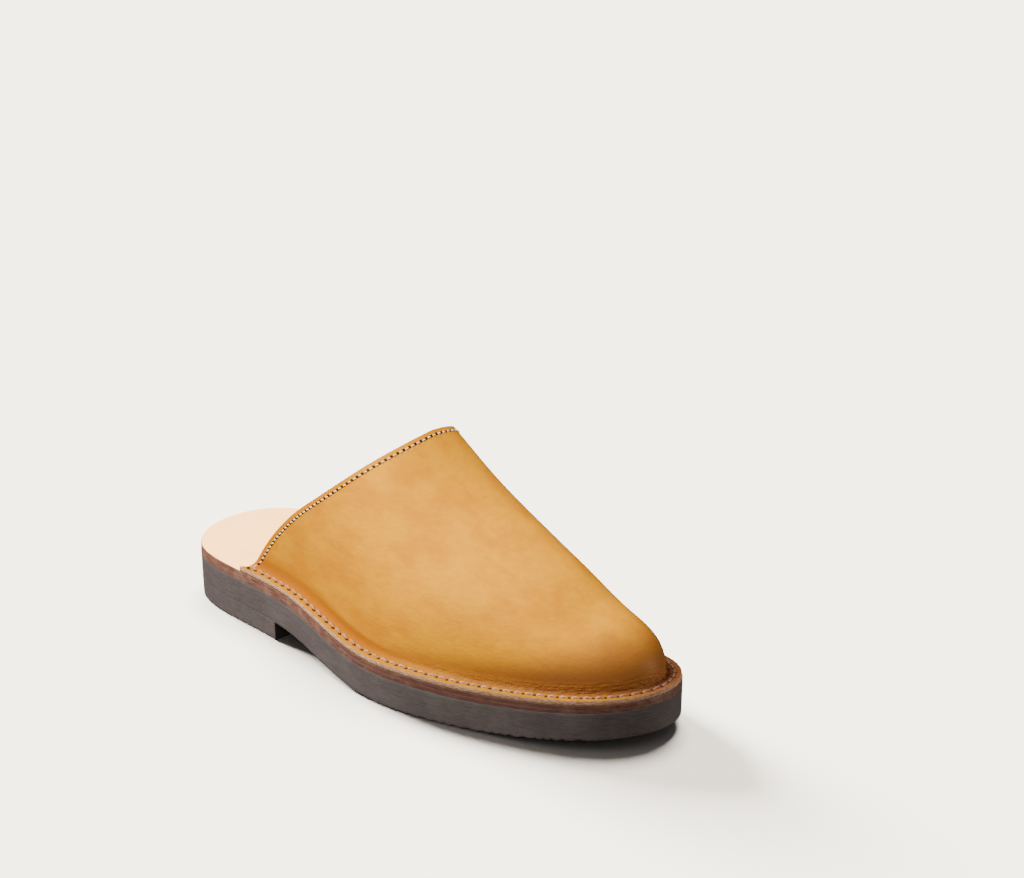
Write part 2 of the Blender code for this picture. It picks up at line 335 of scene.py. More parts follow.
GAP = 0.0003
ARCH_ALONG = (0.084, 0.164)  # where the outsole leaves the heel seat, and where it reaches the floor
TOE_SPRING = 0.008
SPRING_ALONG = 0.205  # where the toe starts to lift
OUTSOLE_FOOT_ROUND = 0.0006
OUTSOLE_ACROSS = 28
RELIEF_REACH = 0.0022  # how far up the side the ribs' ends show
RIB_PITCH = 0.0054
RIB_DEPTH = 0.00065
RIB_WANDER = (0.35, 0.25)  # how far the ribs stray, slowly and quickly, as shares of their pitch
WANDER_RUNS = (0.0131, 0.0047, 0.009)  # over these runs along the sole, and the last across it
NICK_DEPTH = 0.00022
NICK_PITCH = 0.37  # as a share of the ribs'
NICK_RUN = 0.0031
TREAD_STARTS = (0.140, 0.156)
TREAD_ENDS = (0.264, 0.276)

# Thickness of the two lower layers, by share of the sole's length
LAYERS = columns(
    "along outsole midsole",
    (0.00, 0.0124, 0.0027),
    (0.30, 0.0138, 0.0022),
    (0.50, 0.0150, 0.0020),
    (0.70, 0.0152, 0.0020),
    (1.00, 0.0142, 0.0012),
)


def row_value(table, column, along):
    """A table's column read at distances along the sole."""
    return spline(along / SOLE_LENGTH, table["along"], table[column])


def underside(along):
    """Height of the outsole's underside: heel seat, arch, tread on the floor, toe spring."""
    arch = np.clip((along - ARCH_ALONG[0]) / (ARCH_ALONG[1] - ARCH_ALONG[0]), 0, 1)
    seat = (HEEL_LIFT + GAP) * (1 + np.cos(np.pi * arch)) / 2
    lift = np.clip((along - SPRING_ALONG) / (SOLE_LENGTH - SPRING_ALONG), 0, 1)
    return seat + TOE_SPRING * lift**1.5


def outsole_top(along):
    return underside(along) + row_value(LAYERS, "outsole", along)


def tread(plan):
    """Grooves between the forefoot's cross ribs, with uneven nicks along the ribs' ends."""
    along = SOLE_LENGTH / 2 - plan[:, 1]
    slow, quick, across = WANDER_RUNS
    wander = RIB_WANDER[0] * np.sin(along / slow)
    wander = wander + RIB_WANDER[1] * np.sin(along / quick + plan[:, 0] / across)
    groove = 0.5 - 0.5 * np.cos(2 * np.pi * (along / RIB_PITCH + wander))
    nick = 0.5 - 0.5 * np.cos(2 * np.pi * along / (RIB_PITCH * NICK_PITCH) + 2 * np.sin(along / NICK_RUN))
    depth = RIB_DEPTH * groove**2 + NICK_DEPTH * nick
    return depth * ramp(along, *TREAD_STARTS) * (1 - ramp(along, *TREAD_ENDS))


levels = side_levels(OUTSOLE_FOOT_ROUND, JOINT_ROUND, RUBBER_TAPER)
outsole = sole_layer(
    "sole_sheet", underside, outsole_top, levels, [cellular_rubber], OUTSOLE_ACROSS, relief=tread
)
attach(outsole, "root")
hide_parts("outsole")


# ======== Midsole ========
# Bonded leather board between rubber and insole. Its cut edge is stained red-brown with the insole's and
# burnished with wax, which closes the fibres to a soft shine and leaves fine level streaks.

LEATHER_FOOT_ROUND = 0.00015
LEATHER_HEAD_ROUND = 0.0004
MIDSOLE_ACROSS = 6


def midsole_foot(along):
    return outsole_top(along) + GAP


def midsole_top(along):
    return midsole_foot(along) + row_value(LAYERS, "midsole", along)


# Vegetable-tanned edge, stained and waxed: streaks of packed fibre, worn paler in patches
STAIN = "#7a5140"
STAIN_DEEP = "#4c2f26"
STAIN_WORN = "#95705a"
FIBRE_LENGTH = 6 * MM
FIBRE_THICKNESS = 0.35 * MM

stained_edge, add, place = new_material("stained_leather_edge")
fibre_frame = add(
    "Mapping", {"Vector": place, "Scale": (1 / FIBRE_LENGTH, 1 / FIBRE_LENGTH, 1 / FIBRE_THICKNESS)}
)
fibres = add("TexNoise", {"Vector": fibre_frame, "Scale": 1, "Detail": 5, "Roughness": 0.6})
pools = add("TexNoise", {"Vector": place, "Scale": 1 / (7 * MM), "Detail": 3})
deep = add("MapRange", [fibres, 0.38, 0.56, 0.85, 0])
worn = add("MapRange", [pools, 0.5, 0.7, 0, 0.6])
stain = add("Mix", {0: deep, MIX_A: STAIN, MIX_B: STAIN_DEEP}, **COLOUR)
stain_worn = add("Mix", {0: worn, MIX_A: stain, MIX_B: STAIN_WORN}, **COLOUR)
along_edge = add("SeparateXYZ", {"Vector": place})
# The edge turns darker over the forefoot and paler again at the toe's tip
forefoot_darkening = add("MapRange", [along_edge.outputs["Y"], 0.05, -0.055, 0, 0.55], **SMOOTH)
tip_lightening = add("MapRange", [along_edge.outputs["Y"], -0.138, -0.118], **SMOOTH)
forefoot_dark = add("Math", [forefoot_darkening, tip_lightening], operation="MULTIPLY")
forefoot_darkened = add("Mix", {0: forefoot_dark, MIX_A: stain_worn, MIX_B: STAIN_DEEP}, **COLOUR)
streaks = add("Bump", {"Height": fibres, "Distance": 0.12 * MM, "Strength": 0.7})
look = {"Base Color": forefoot_darkened, "Roughness": 0.5, "IOR": 1.48, "Specular IOR Level": 0.35, "Normal": streaks}
add("OutputMaterial", [add("BsdfPrincipled", look)])

levels = side_levels(LEATHER_FOOT_ROUND, LEATHER_FOOT_ROUND, 0.0)
midsole = sole_layer("midsole_board", midsole_foot, midsole_top, levels, [stained_edge], MIDSOLE_ACROSS)
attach(midsole, "root")
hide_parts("midsole")


# ======== Insole ========
# Undyed vegetable-tanned shoulder leather, grain side up, that the bare foot stands on. Only its edge is
# stained, and the stain creeps a hair's breadth over the eased corner.

INSOLE_THICKNESS = 0.0022
INSOLE_ACROSS = 40
STAIN_CREEP = 0.0011  # how far the stain runs in over the top, under the upper's flange
LEDGE_SHADE_DOWN = 0.7  # how far down the eased corner the painted ledge shade and the bare grain reach, as shares of it
GRAIN_DOWN = 0.12
FLANGE_BACK = {-1: 0.0515, 1: 0.0720}  # where the upper's flange starts, on each side


def insole_foot(along):
    return midsole_top(along) + GAP


def insole_top(along):
    return insole_foot(along) + INSOLE_THICKNESS


# Smooth undyed grain: pale nude, with faint clouds and pores too fine to see from a step away
NATURAL = "#f6b362"
NATURAL_WARM = "#efa657"
PORE = 0.5 * MM

natural_grain, add, place = new_material("natural_leather_grain")
clouds = add("TexNoise", {"Vector": place, "Scale": 1 / (22 * MM), "Detail": 5, "Roughness": 0.55})
pores = add("TexVoronoi", {"Vector": place, "Scale": 1 / PORE, "Smoothness": 0.5}, feature="SMOOTH_F1")
warmth = add("MapRange", [clouds, 0.42, 0.7, 0, 0.55], **SMOOTH)
tone = add("Mix", {0: warmth, MIX_A: NATURAL, MIX_B: NATURAL_WARM}, **COLOUR)
grain = add("Bump", {"Height": pores, "Distance": 0.03 * MM, "Strength": 0.6})
look = {"Base Color": tone, "Roughness": 0.7, "IOR": 1.46, "Specular IOR Level": 0.12, "Normal": grain}
add("OutputMaterial", [add("BsdfPrincipled", look)])

# Painted shade in the narrow ledge that the insole leaves beside the upper's flange: dark and dull
LEDGE_SHADE = "#33231b"
LEDGE_SHADE_PALE = "#4f3a2c"

painted_ledge_shade, add, place = new_material("painted_ledge_shade")
crumbs = add("TexNoise", {"Vector": place, "Scale": 1 / (1.5 * MM), "Detail": 4})
tone = add("Mix", {0: crumbs, MIX_A: LEDGE_SHADE, MIX_B: LEDGE_SHADE_PALE}, **COLOUR)
crust = add("Bump", {"Height": crumbs, "Distance": 0.1 * MM, "Strength": 0.6})
look = {"Base Color": tone, "Roughness": 0.95, "IOR": 1.45, "Specular IOR Level": 0.05, "Normal": crust}
add("OutputMaterial", [add("BsdfPrincipled", look)])

levels = side_levels(LEATHER_FOOT_ROUND, LEATHER_HEAD_ROUND, 0.0) + [(STAIN_CREEP, 1.0, 0.0)]
finishes = [stained_edge, natural_grain, painted_ledge_shade]
insole = sole_layer("insole_board", insole_foot, insole_top, levels, finishes, INSOLE_ACROSS)
for face in insole.data.polygons:
    along = SOLE_LENGTH / 2 - face.center.y
    below_top = insole_top(along) + SEAM_FILL - face.center.z
    side = 1 if face.center.x > TOE_SWING * (along / SOLE_LENGTH) ** 2 else -1
    narrow = face.area < STAIN_CREEP * SOLE_LENGTH / SOLE_STATIONS * 2
    # The narrow ledge beside the flange gets painted shade; elsewhere the stained edge or the bare grain
    if along > FLANGE_BACK[side] and narrow and below_top < LEATHER_HEAD_ROUND * LEDGE_SHADE_DOWN:
        face.material_index = 2
    else:
        face.material_index = int(below_top < LEATHER_HEAD_ROUND * GRAIN_DOWN)
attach(insole, "root")
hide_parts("insole")


# ======== Upper ========
# The one-piece vamp: full-grain cowhide 2 mm thick, drum-dyed mustard and waxed, lasted wet, its margin
# turned outwards over the insole as a flange. Cut edges stay raw; the inside is the hide's flesh side.

UPPER_THICKNESS = 0.0020
INSTEP_HEIGHT = 0.094
FLANGE_INSET = 0.0005
FLANGE_TAIL = 0.0029
COLLAR_THROAT = 0.1407
COLLAR_FOOT = {-1: 0.0544, 1: 0.0749}
COLLAR_CURVE = 2.08
TOE_PIVOT = 0.243
PIVOT_BLEND = 0.008
PIVOT_SHY = 0.0003
SLOPE_STEP = 0.0001
UPPER_COLUMNS = 170
FLANGE_ROWS = 10
FOLD_ROWS = 9
WALL_ROWS = 84
WALL_CROWDING = 1.35  # above 1, the wall's rows lie closer together near the fold
CUT_EDGE_ROUND = 0.00022
CUT_EDGE_ANGLE = 60  # degrees

# The ridge: height over the insole as a share of the instep height, and how far it lies to the medial side
# of the long axis as a share of the ball width. Behind the collar it runs on as if up a leg.
RIDGE = columns(
    "along height offset",
    (0.20, 1.780, -0.060),
    (0.33, 1.304, 0.004),
    (0.45, 1.078, 0.056),
    (0.57, 0.810, 0.084),
    (0.69, 0.632, 0.098),
    (0.78, 0.512, 0.104),
    (0.86, 0.360, 0.114),
)

# The ribs on each side: how upright they start and how level they finish, as shares of their rise and reach
RIB_SHAPES = {
    -1: columns(
        "along upright level",
        (0.18, 0.572, 0.643),
        (0.48, 0.438, 0.612),
        (0.72, 0.560, 0.565),
        (1.00, 0.740, 0.200),
    ),
    1: columns(
        "along upright level",
        (0.18, 0.722, 0.905),
        (0.48, 0.551, 1.000),
        (0.72, 0.556, 0.734),
        (1.00, 0.740, 0.200),
    ),
}

# The foot of the ribs: how far they bulge beyond the feather line, the flange's breadth, its fold's radius
FEATHER = columns(
    "along bulge flange fold",
    (0.18, 0.0011, 0.0079, 0.0045),
    (0.48, 0.0016, 0.0079, 0.0035),
    (0.72, 0.0024, 0.0080, 0.0022),
    (1.00, 0.0028, 0.0082, 0.0018),
)


def flange_top(along):
    return insole_top(along) + GAP + UPPER_THICKNESS


def ridge_along(foot_along):
    """Where on the ridge a rib ends: level with its foot, and past the toe's pivot always at the pivot."""
    short = TOE_PIVOT - PIVOT_BLEND * np.log1p(np.exp((TOE_PIVOT - foot_along) / PIVOT_BLEND))
    return np.where(TOE_PIVOT - short < PIVOT_SHY, TOE_PIVOT - PIVOT_SHY, short)


def rib(turn, side, climb):
    """Points of the last's ribs, cubic curves from the feather line (climb 0) to the ridge (climb 1)."""
    rim_along = along_of(turn)
    foot = rim(turn, side, row_value(FEATHER, "flange", rim_along))
    foot_height = flange_top(SOLE_LENGTH / 2 - foot[..., 1])
    end_along = ridge_along(rim_along)
    end_across = BALL_WIDTH * row_value(RIDGE, "offset", end_along)
    end = np.stack([end_across, SOLE_LENGTH / 2 - end_along], -1)
    rise_here = INSTEP_HEIGHT * row_value(RIDGE, "height", end_along)
    rise_ahead = INSTEP_HEIGHT * row_value(RIDGE, "height", end_along + SLOPE_STEP)
    end_height = insole_top(end_along) + rise_here
    upright = row_value(RIB_SHAPES[side], "upright", rim_along)
    level = row_value(RIB_SHAPES[side], "level", rim_along)
    bulge = row_value(FEATHER, "bulge", rim_along)
    reach = (foot - end) * level[..., None]
    low = foot + rim_outward(turn, side) * bulge[..., None]
    low_height = foot_height + upright * (end_height - foot_height)
    high = end + reach
    high_height = end_height - reach[..., 1] * (rise_ahead - rise_here) / SLOPE_STEP
    plans = (foot, low, high, end)
    heights = (foot_height, low_height, high_height, end_height)
    t = np.asarray(climb)[..., None]
    weights = ((1 - t) ** 3, 3 * (1 - t) ** 2 * t, 3 * (1 - t) * t**2, t**3)
    points = [np.concatenate([plan, height[..., None]], -1) for plan, height in zip(plans, heights)]
    return sum(weight * point for weight, point in zip(weights, points))


def collar_along(side, climb):
    """Distance along the sole at which the collar cuts the rib at a climb."""
    foot = COLLAR_FOOT[side]
    sweep = 1 - (1 - climb) ** COLLAR_CURVE
    return foot + (COLLAR_THROAT - foot) * sweep


def flange_point(turn, side, place):
    """A point of the flange's face, from its cut edge (place 0) to the start of the fold (place 1)."""
    rim_along = along_of(turn)
    fold_start = row_value(FEATHER, "flange", rim_along) - row_value(FEATHER, "fold", rim_along)
    plan = rim(turn, side, FLANGE_INSET + (fold_start - FLANGE_INSET) * place)
    return np.column_stack([plan, flange_top(SOLE_LENGTH / 2 - plan[:, 1])])


def fold_climb(turn, side):
    """How far up the ribs the fold between flange and wall reaches."""
    rim_along = along_of(turn)
    rise = rib(turn, side, np.ones_like(turn))[..., 2] - rib(turn, side, np.zeros_like(turn))[..., 2]
    steepness = 3 * row_value(RIB_SHAPES[side], "upright", rim_along) * rise
    return row_value(FEATHER, "fold", rim_along) / steepness


def fold_point(turn, side, place):
    """A point of the rounded fold that turns the flange's face up into the wall."""
    start = flange_point(turn, side, 1.0)
    corner = rib(turn, side, np.zeros_like(turn))
    wall = rib(turn, side, fold_climb(turn, side))
    return (1 - place) ** 2 * start + 2 * place * (1 - place) * corner + place**2 * wall


def wall_point(turn, side, place):
    """A point of the wall, from the end of the fold (place 0) to the ridge (place 1)."""
    low = fold_climb(turn, side)
    return rib(turn, side, low + (1 - low) * place)


def upper_half(side):
    """Rows of the upper's outer face on one side, from the flange's edge to the ridge, and their turns."""
    share = np.linspace(0, 1, UPPER_COLUMNS + 1)
    foot = COLLAR_FOOT[side]
    flange_back = foot - FLANGE_TAIL
    low_climb = fold_climb(turn_of(np.array([foot])), side)[0]
    rows = []
    turns = []

    def add_row(start_along, point, place):
        start = turn_of(start_along)
        turn = start + (np.pi - start) * share
        rows.append(point(turn, side, place))
        turns.append(turn)

    for place in np.linspace(0, 1, FLANGE_ROWS + 1):
        add_row(flange_back + (foot - flange_back) * place, flange_point, place)
    for place in np.linspace(0, 1, FOLD_ROWS + 2)[1:-1]:
        add_row(foot + (collar_along(side, low_climb) - foot) * place**2, fold_point, place)
    for place in np.linspace(0, 1, WALL_ROWS + 1) ** WALL_CROWDING:
        add_row(collar_along(side, low_climb + (1 - low_climb) * place), wall_point, place)
    return np.array(rows), np.array(turns)


def lengths(points, axis):
    """Distance walked along a grid of points, from 0 at its first row or column."""
    steps = np.linalg.norm(np.diff(points, axis=axis), axis=-1)
    start = np.zeros_like(np.take(steps, [0], axis=axis))
    return np.cumsum(np.concatenate([start, steps], axis=axis), axis=axis)


def unit(vectors):
    return vectors / np.maximum(np.linalg.norm(vectors, axis=-1, keepdims=True), 1e-9)


halves = {side: upper_half(side) for side in (-1, 1)}

# Where a point lies: up from the flange's cut edge, in from the collar's edge, and its signed turn
marks = {"from_flange": [], "from_collar": [], "signed_turn": []}
for side, (grid, turns) in halves.items():
    collar_line = unit(np.gradient(grid[:, 0], axis=0))
    row_start = unit(grid[:, 1] - grid[:, 0])
    squareness = np.linalg.norm(np.cross(collar_line, row_start), axis=-1)
    marks["from_flange"].append(lengths(grid, 0))
    marks["from_collar"].append(lengths(grid, 1) * squareness[:, None])
    marks["signed_turn"].append(side * (180 - np.degrees(turns)))


# The two rows of stitching cross the upper's finish, so their lines are found here
STITCH_ROWS = {
    "flange": {"in": 0.0034, "pitch": 0.0057},
    "topline": {"in": 0.0027, "pitch": 0.0033},
}
GATHER_LENGTH = 0.0034  # size of the fine gathers over the fold, along it and up the wall
GATHER_PITCH = 0.0017
FIRST_STITCH = 0.3  # where the flange's row starts, as a share of the flange's tail
SEAM_SAMPLES = 900


def flange_seam(side):
    """The line of the flange's stitches on one side, from the collar to the toe's tip."""
    start = turn_of(COLLAR_FOOT[side] - FLANGE_TAIL * FIRST_STITCH)
    turn = np.linspace(start, np.pi, SEAM_SAMPLES)
    plan = rim(turn, side, np.full_like(turn, FLANGE_INSET + STITCH_ROWS["flange"]["in"]))
    return turn, np.column_stack([plan, flange_top(SOLE_LENGTH / 2 - plan[:, 1])])


def topline_seam(side):
    """The line of the collar's stitches on one side, from the flange up to the ridge, and its normals."""
    grid = halves[side][0]
    collar_in = marks["from_collar"][0 if side < 0 else 1]
    points = []
    for row, reach in zip(grid, collar_in):
        at = STITCH_ROWS["topline"]["in"]
        points.append([np.interp(at, reach, row[:, axis]) for axis in range(3)])
    points = np.array(points)
    rise = unit(np.gradient(points, axis=0))
    inward = unit(points - grid[:, 0])
    normal = unit(np.cross(rise, inward)) * side
    return points, normal


flange_steps = []
topline_steps = []
for side, (grid, turns) in halves.items():
    seam_turn, seam = flange_seam(side)
    walked = lengths(seam, 0)
    to_tip = side * (walked[-1] - walked)
    flange_steps.append(np.interp(turns, seam_turn, to_tip) / STITCH_ROWS["flange"]["pitch"])
    seam, _ = topline_seam(side)
    walked = lengths(seam, 0)
    to_ridge = side * (walked[-1] - walked) / STITCH_ROWS["topline"]["pitch"]
    topline_steps.append(np.repeat(to_ridge[:, None], grid.shape[1], axis=1))
marks["flange_step"] = flange_steps
marks["gather_along"] = [step * STITCH_ROWS["flange"]["pitch"] / GATHER_LENGTH for step in flange_steps]
marks["gather_up"] = [height / GATHER_PITCH for height in marks["from_flange"]]
marks["topline_step"] = topline_steps

# Mustard cowhide: dyed through, waxed and lightly plated, so the grain is closed and the shine is broad and
# soft. It carries painted shade on the flange and fold, in the crease, over the wall's foot round the toe,
# at the collar's foot and in the awl holes, and is darker where the collar's edge was dyed.
MUSTARD = "#d88f00"
MUSTARD_DEEP = "#c67900"
# painted shade for the flange and the fold
FLANGE_SHADE = "#aa6c00"
# painted shade for the wall's foot and the toe's flange
FEATHER_SHADE = "#7c4a2a"
COLLAR_DYE = "#b86a00"
# painted shade in the awl holes
HOLE_SHADE = "#34160a"
WAX_TINT = "#ffb450"
GRAIN_CELL = 1.1 * MM  # finer on the real hide; drawn coarser so that it still shows
CREASE_IN = 8.0 * MM  # painted shade lies along the crease where the hide bends up from the flange
CREASE_WIDTH = 6.5 * MM
CREASE_SHADE = "#854100"
HOLE_RADIUS = 0.55 * MM
HOLE_SQUASH = 0.8  # holes are pulled long, along the row


def stitch_holes(add, row, distance, step, radius):
    """1 inside the awl holes of a stitch row, which lie a pitch apart at a set distance in, and 0 outside."""
    pitch = STITCH_ROWS[row]["pitch"]
    whole = add("Math", [step], operation="ROUND")
    past = add("Math", [step, whole], operation="SUBTRACT")
    run = add("Math", [past, pitch], operation="MULTIPLY")
    off = add("Math", [distance, STITCH_ROWS[row]["in"]], operation="SUBTRACT")
    drawn = add("Math", [run, HOLE_SQUASH], operation="MULTIPLY")
    spot = add("CombineXYZ", {"X": drawn, "Y": off})
    away = add("VectorMath", [spot], operation="LENGTH")
    hole = add("MapRange", [away.outputs["Value"], radius * 1.3, radius * 0.7], **SMOOTH)
    return hole


mustard_hide, add, place = new_material("mustard_cowhide")
from_flange, from_collar, signed_turn, flange_step, gather_along, gather_up, topline_step = (
    add("Attribute", {}, attribute_name=name).outputs["Fac"] for name in marks
)
along_hide = add("Mapping", {"Vector": place, "Scale": (1.6, 0.7, 1.6)})
clouds = add("TexNoise", {"Vector": along_hide, "Scale": 1 / (22 * MM), "Detail": 6, "Roughness": 0.58})
drawn_hide = add("Mapping", {"Vector": place, "Scale": (0.7, 0.7, 2)})
flecks = add("TexNoise", {"Vector": drawn_hide, "Scale": 1 / (3.5 * MM), "Detail": 6, "Roughness": 0.65})
cells = add("TexVoronoi", {"Vector": place, "Scale": 1 / GRAIN_CELL, "Smoothness": 0.6}, feature="SMOOTH_F1")
cloud_share = add("MapRange", [clouds, 0.38, 0.66, 0, 0.75], **SMOOTH)
tone = add("Mix", {0: cloud_share, MIX_A: MUSTARD, MIX_B: MUSTARD_DEEP}, **COLOUR)
fleck_shade = add("MapRange", [flecks, 0.3, 0.7, 0.9, 1.07])
flecked = add("Mix", {0: 1, MIX_A: tone, MIX_B: fleck_shade}, blend_type="MULTIPLY", **COLOUR)
# Painted shade on the flange and up the fold, reaching higher at the waist and darkest at the toe's tip
waist_fold = add("MapRange", [signed_turn, -82, -104, 11 * MM, 22 * MM], **SMOOTH)
flange_shade_share = add("MapRange", [from_flange, waist_fold, 6 * MM], **SMOOTH)
flange_tip = add("MapRange", [signed_turn, -38, -2], **SMOOTH)
flange_shade_tone = add("Mix", {0: flange_tip, MIX_A: FLANGE_SHADE, MIX_B: FEATHER_SHADE}, **COLOUR)
flange_shaded = add("Mix", {0: flange_shade_share, MIX_A: flecked, MIX_B: flange_shade_tone}, **COLOUR)
toe_side = add("Math", [signed_turn], operation="ABSOLUTE")
# Painted shade over the wall's foot: deepest round the toe, lighter at the collar's foot
flange_end = add("MapRange", [toe_side, 108, 38, 0, 0.9], **SMOOTH)
collar_end = add("MapRange", [toe_side, 100, 122, 0, 0.25], **SMOOTH)
shade_by_turn = add("Math", [flange_end, collar_end], operation="ADD")
shade_reach = add("MapRange", [toe_side, 108, 20, 9 * MM, 41 * MM], **SMOOTH)
over_fold = add("Math", [from_flange, 6 * MM], operation="SUBTRACT")
wall_height = add("Math", [over_fold, shade_reach], operation="DIVIDE")
wall_start = add("MapRange", [wall_height, 1, 0.25], **SMOOTH)
past_flange = add("MapRange", [from_flange, 4.6 * MM, 7 * MM], **SMOOTH)
wall_shade = add("Math", [shade_by_turn, wall_start], operation="MULTIPLY")
wall_shade_share = add("Math", [wall_shade, past_flange], operation="MULTIPLY")
wall_shaded = add("Mix", {0: wall_shade_share, MIX_A: flange_shaded, MIX_B: FEATHER_SHADE}, **COLOUR)
# Painted shade in the crease where the wall rises from the flange, along the sides but not round the toe
crease_off = add("Math", [from_flange, CREASE_IN], operation="SUBTRACT")
crease_reach = add("Math", [crease_off], operation="ABSOLUTE")
crease_share = add("MapRange", [crease_reach, CREASE_WIDTH, 0, 0, 0.72], **SMOOTH)
crease_side = add("MapRange", [toe_side, 68, 92], **SMOOTH)
crease_shade_here = add("Math", [crease_share, crease_side], operation="MULTIPLY")
crease_shaded = add("Mix", {0: crease_shade_here, MIX_A: wall_shaded, MIX_B: CREASE_SHADE}, **COLOUR)
collar_share = add("MapRange", [from_collar, 2.6 * MM, 0.4 * MM, 0, 0.75], **SMOOTH)
edged = add("Mix", {0: collar_share, MIX_A: crease_shaded, MIX_B: COLLAR_DYE}, **COLOUR)
flange_holes = stitch_holes(add, "flange", from_flange, flange_step, HOLE_RADIUS * 1.8)
topline_holes = stitch_holes(add, "topline", from_collar, topline_step, HOLE_RADIUS * 1.35)
holes = add("Math", [flange_holes, topline_holes], operation="MAXIMUM")
# Painted shade in the awl holes of both stitch rows
pierced = add("Mix", {0: holes, MIX_A: edged, MIX_B: HOLE_SHADE}, **COLOUR)
grain = add("Bump", {"Height": cells, "Distance": 0.08 * MM, "Strength": 0.7})
pull = add("Bump", {"Height": flecks, "Distance": 0.2 * MM, "Strength": 0.6, "Normal": grain})
gather_frame = add("CombineXYZ", {"X": gather_along, "Y": gather_up})
gathers = {"Vector": gather_frame, "Scale": 1, "Detail": 3, "Distortion": 0.4}
gathers = add("TexNoise", gathers, noise_dimensions="2D")
gather_toe = add("MapRange", [toe_side, 90, 45, 0.15], **SMOOTH)
gather_low = add("MapRange", [from_flange, 15 * MM, 7 * MM], **SMOOTH)
gather_mask = add("Math", [gather_toe, gather_low], operation="MULTIPLY")
gather_height = add("Math", [gathers, gather_mask], operation="MULTIPLY")
gathered = add("Bump", {"Height": gather_height, "Distance": 1.25 * MM, "Normal": pull})
dimples = add("Bump", {"Height": holes, "Distance": 0.5 * MM, "Normal": gathered}, invert=True)
sheen_spread = add("MapRange", [clouds, 0.3, 0.7, 0.44, 0.52])
rubbed_dull = add("Math", [crease_shade_here, 0.6, sheen_spread], operation="MULTIPLY_ADD")
look = {
    "Base Color": pierced,
    "Roughness": rubbed_dull,
    "IOR": 1.45,
    "Specular IOR Level": 0.3,
    "Specular Tint": WAX_TINT,
    "Normal": dimples,
}
add("OutputMaterial", [add("BsdfPrincipled", look)])

# The hide's flesh side: short natural nap, buffed, undyed and quite dull
FLESH = "#b98a54"
FLESH_PALE = "#cfa673"

flesh_side, add, place = new_material("cowhide_flesh_side")
nap = add("TexNoise", {"Vector": place, "Scale": 1 / (0.9 * MM), "Detail": 6, "Roughness": 0.75})
clouds = add("TexNoise", {"Vector": place, "Scale": 1 / (14 * MM), "Detail": 4, "Roughness": 0.6})
nap_share = add("Math", [nap, clouds], operation="ADD")
pale_share = add("MapRange", [nap_share, 0.75, 1.25])
tone = add("Mix", {0: pale_share, MIX_A: FLESH, MIX_B: FLESH_PALE}, **COLOUR)
fuzz = add("Bump", {"Height": nap, "Distance": 0.25 * MM, "Strength": 0.8})
look = {"Base Color": tone, "Roughness": 0.92, "IOR": 1.4, "Normal": fuzz}
add("OutputMaterial", [add("BsdfPrincipled", look)])

# The raw cut edge: pale packed fibre between the grain and the flesh, streaked along the cut
RAW_EDGE = "#deb48a"
RAW_EDGE_DEEP = "#99683f"

raw_edge, add, place = new_material("raw_cut_edge")
edge_turn = add("Attribute", {}, attribute_name="signed_turn").outputs["Fac"]
fibre_frame = add("Mapping", {"Vector": place, "Scale": (1 / (2.5 * MM), 1 / (2.5 * MM), 1 / (0.3 * MM))})
fibres = add("TexNoise", {"Vector": fibre_frame, "Scale": 1, "Detail": 5, "Roughness": 0.7})
deep = add("MapRange", [fibres, 0.58, 0.4])
raw = add("Mix", {0: deep, MIX_A: RAW_EDGE, MIX_B: RAW_EDGE_DEEP}, **COLOUR)
stained = add("Mix", {0: deep, MIX_A: STAIN, MIX_B: STAIN_DEEP}, **COLOUR)
blotches = add("TexNoise", {"Vector": place, "Scale": 1 / (5 * MM), "Detail": 4})
ragged = add("Math", [blotches, 50, edge_turn], operation="MULTIPLY_ADD")
stain_share = add("MapRange", [ragged, -70, -30, 0, 0.4], **SMOOTH)
medial_pale = add("MapRange", [ragged, 75, 35], **SMOOTH)
stain_here = add("Math", [stain_share, medial_pale], operation="MULTIPLY")
tone = add("Mix", {0: stain_here, MIX_A: raw, MIX_B: stained}, **COLOUR)
streaks = add("Bump", {"Height": fibres, "Distance": 0.2 * MM, "Strength": 0.8})
look = {"Base Color": tone, "Roughness": 0.8, "IOR": 1.45, "Normal": streaks}
add("OutputMaterial", [add("BsdfPrincipled", look)])

points = np.concatenate([grid.reshape(-1, 3) for grid, _ in halves.values()])
rows, wide = halves[-1][0].shape[:2]
faces = []
for half in range(2):
    for r in range(rows - 1):
        for c in range(wide - 1):
            a = (half * rows + r) * wide + c
            quad = (a, a + 1, a + wide + 1, a + wide)
            faces.append(quad[::-1] if half else quad)
flat_marks = {name: np.concatenate([np.ravel(half) for half in both]) for name, both in marks.items()}
vamp = mesh_piece("vamp", points, faces, [mustard_hide, flesh_side, raw_edge], flat_marks)

# Lasting wrinkles: short shallow creases above the fold, where the wet hide was gathered round the toe.
# The turn is signed and in degrees from the toe's tip, negative on the lateral side; the rest is in mm.
WRINKLES = columns(
    "turn spread height slope depth width",
    (-52, 10, 11.0, 0.02, 0.10, 0.7),
    (-44, 9, 10.2, 0.05, 0.16, 0.6),
    (-38, 8, 12.2, 0.03, 0.12, 0.7),
    (-31, 9, 10.4, 0.07, 0.20, 0.6),
    (-26, 7, 12.4, 0.08, 0.16, 0.7),
    (-20, 8, 10.6, 0.06, 0.22, 0.6),
    (-14, 7, 12.8, 0.10, 0.16, 0.7),
    (-8, 8, 10.8, 0.05, 0.18, 0.6),
    (0, 8, 12.2, -0.05, 0.14, 0.7),
    (7, 8, 10.6, -0.06, 0.20, 0.6),
    (15, 9, 12.6, -0.08, 0.16, 0.7),
    (24, 9, 10.6, -0.05, 0.18, 0.6),
    (34, 10, 11.8, -0.04, 0.12, 0.7),
)
WRINKLE_FADE = 1.7  # how soon a wrinkle dies out within its spread
